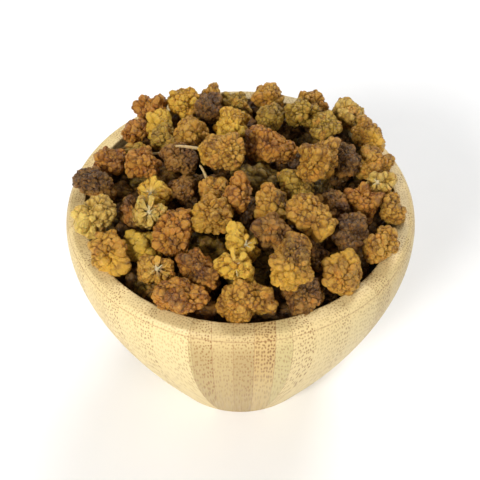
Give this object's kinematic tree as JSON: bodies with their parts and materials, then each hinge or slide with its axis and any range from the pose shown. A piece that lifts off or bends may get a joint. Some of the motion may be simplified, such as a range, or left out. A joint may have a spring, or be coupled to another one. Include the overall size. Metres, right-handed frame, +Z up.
{
  "type": "bowl of dried white mulberries",
  "caption": "Small round bamboo bowl with a curved wall, heaped over its rim with loose, knobbly dried white mulberries.",
  "frame": {"origin": "middle of the flat foot that the bowl stands on", "axes": "+Z up along the bowl's turning axis, +Y to the back and +X to the right of the side shown in the picture"},
  "size_m": [0.12, 0.12, 0.1097],
  "materials": {
    "bamboo": "smooth satin bamboo, fine pores",
    "amber": "wrinkled amber skin, low sheen",
    "golden": "golden yellow skin, swollen, low sheen",
    "russet": "red-brown skin, low sheen",
    "brown": "dark purple-brown skin, dull",
    "olive": "dull olive-brown skin",
    "straw": "pale straw-coloured skin, low sheen"
  },
  "bodies": {
    "root": {"bowl": "bamboo", "heap": "brown", "mulberry_01": "olive", "mulberry_02": "brown", "mulberry_03": "amber", "mulberry_04": "olive", "mulberry_05": "amber", "mulberry_06": "golden", "mulberry_07": "russet", "mulberry_08": "russet", "mulberry_09": "golden", "mulberry_10": "amber", "mulberry_11": "olive", "mulberry_12": "olive", "mulberry_13": "straw", "mulberry_14": "amber", "mulberry_15": "brown", "mulberry_16": "olive", "mulberry_17": "russet", "mulberry_18": "olive", "mulberry_19": "amber", "mulberry_20": "brown", "mulberry_21": "russet", "mulberry_22": "golden", "mulberry_23": "olive", "mulberry_24": "russet", "mulberry_25": "amber", "mulberry_26": "straw", "mulberry_27": "amber", "mulberry_28": "amber", "mulberry_29": "brown", "mulberry_30": "straw", "mulberry_31": "brown", "mulberry_32": "golden", "mulberry_33": "straw", "mulberry_34": "olive", "mulberry_35": "amber", "mulberry_36": "russet", "mulberry_37": "brown", "mulberry_38": "russet", "mulberry_39": "amber", "mulberry_40": "amber", "mulberry_41": "amber", "mulberry_42": "brown", "mulberry_43": "russet", "mulberry_44": "amber", "mulberry_45": "brown", "mulberry_46": "amber", "mulberry_47": "amber", "mulberry_48": "brown", "mulberry_49": "brown", "mulberry_50": "golden", "mulberry_51": "amber", "mulberry_52": "brown", "mulberry_53": "golden", "mulberry_54": "amber", "mulberry_55": "russet", "mulberry_56": "russet", "mulberry_57": "amber", "mulberry_58": "amber"}
  },
  "joints": []
}
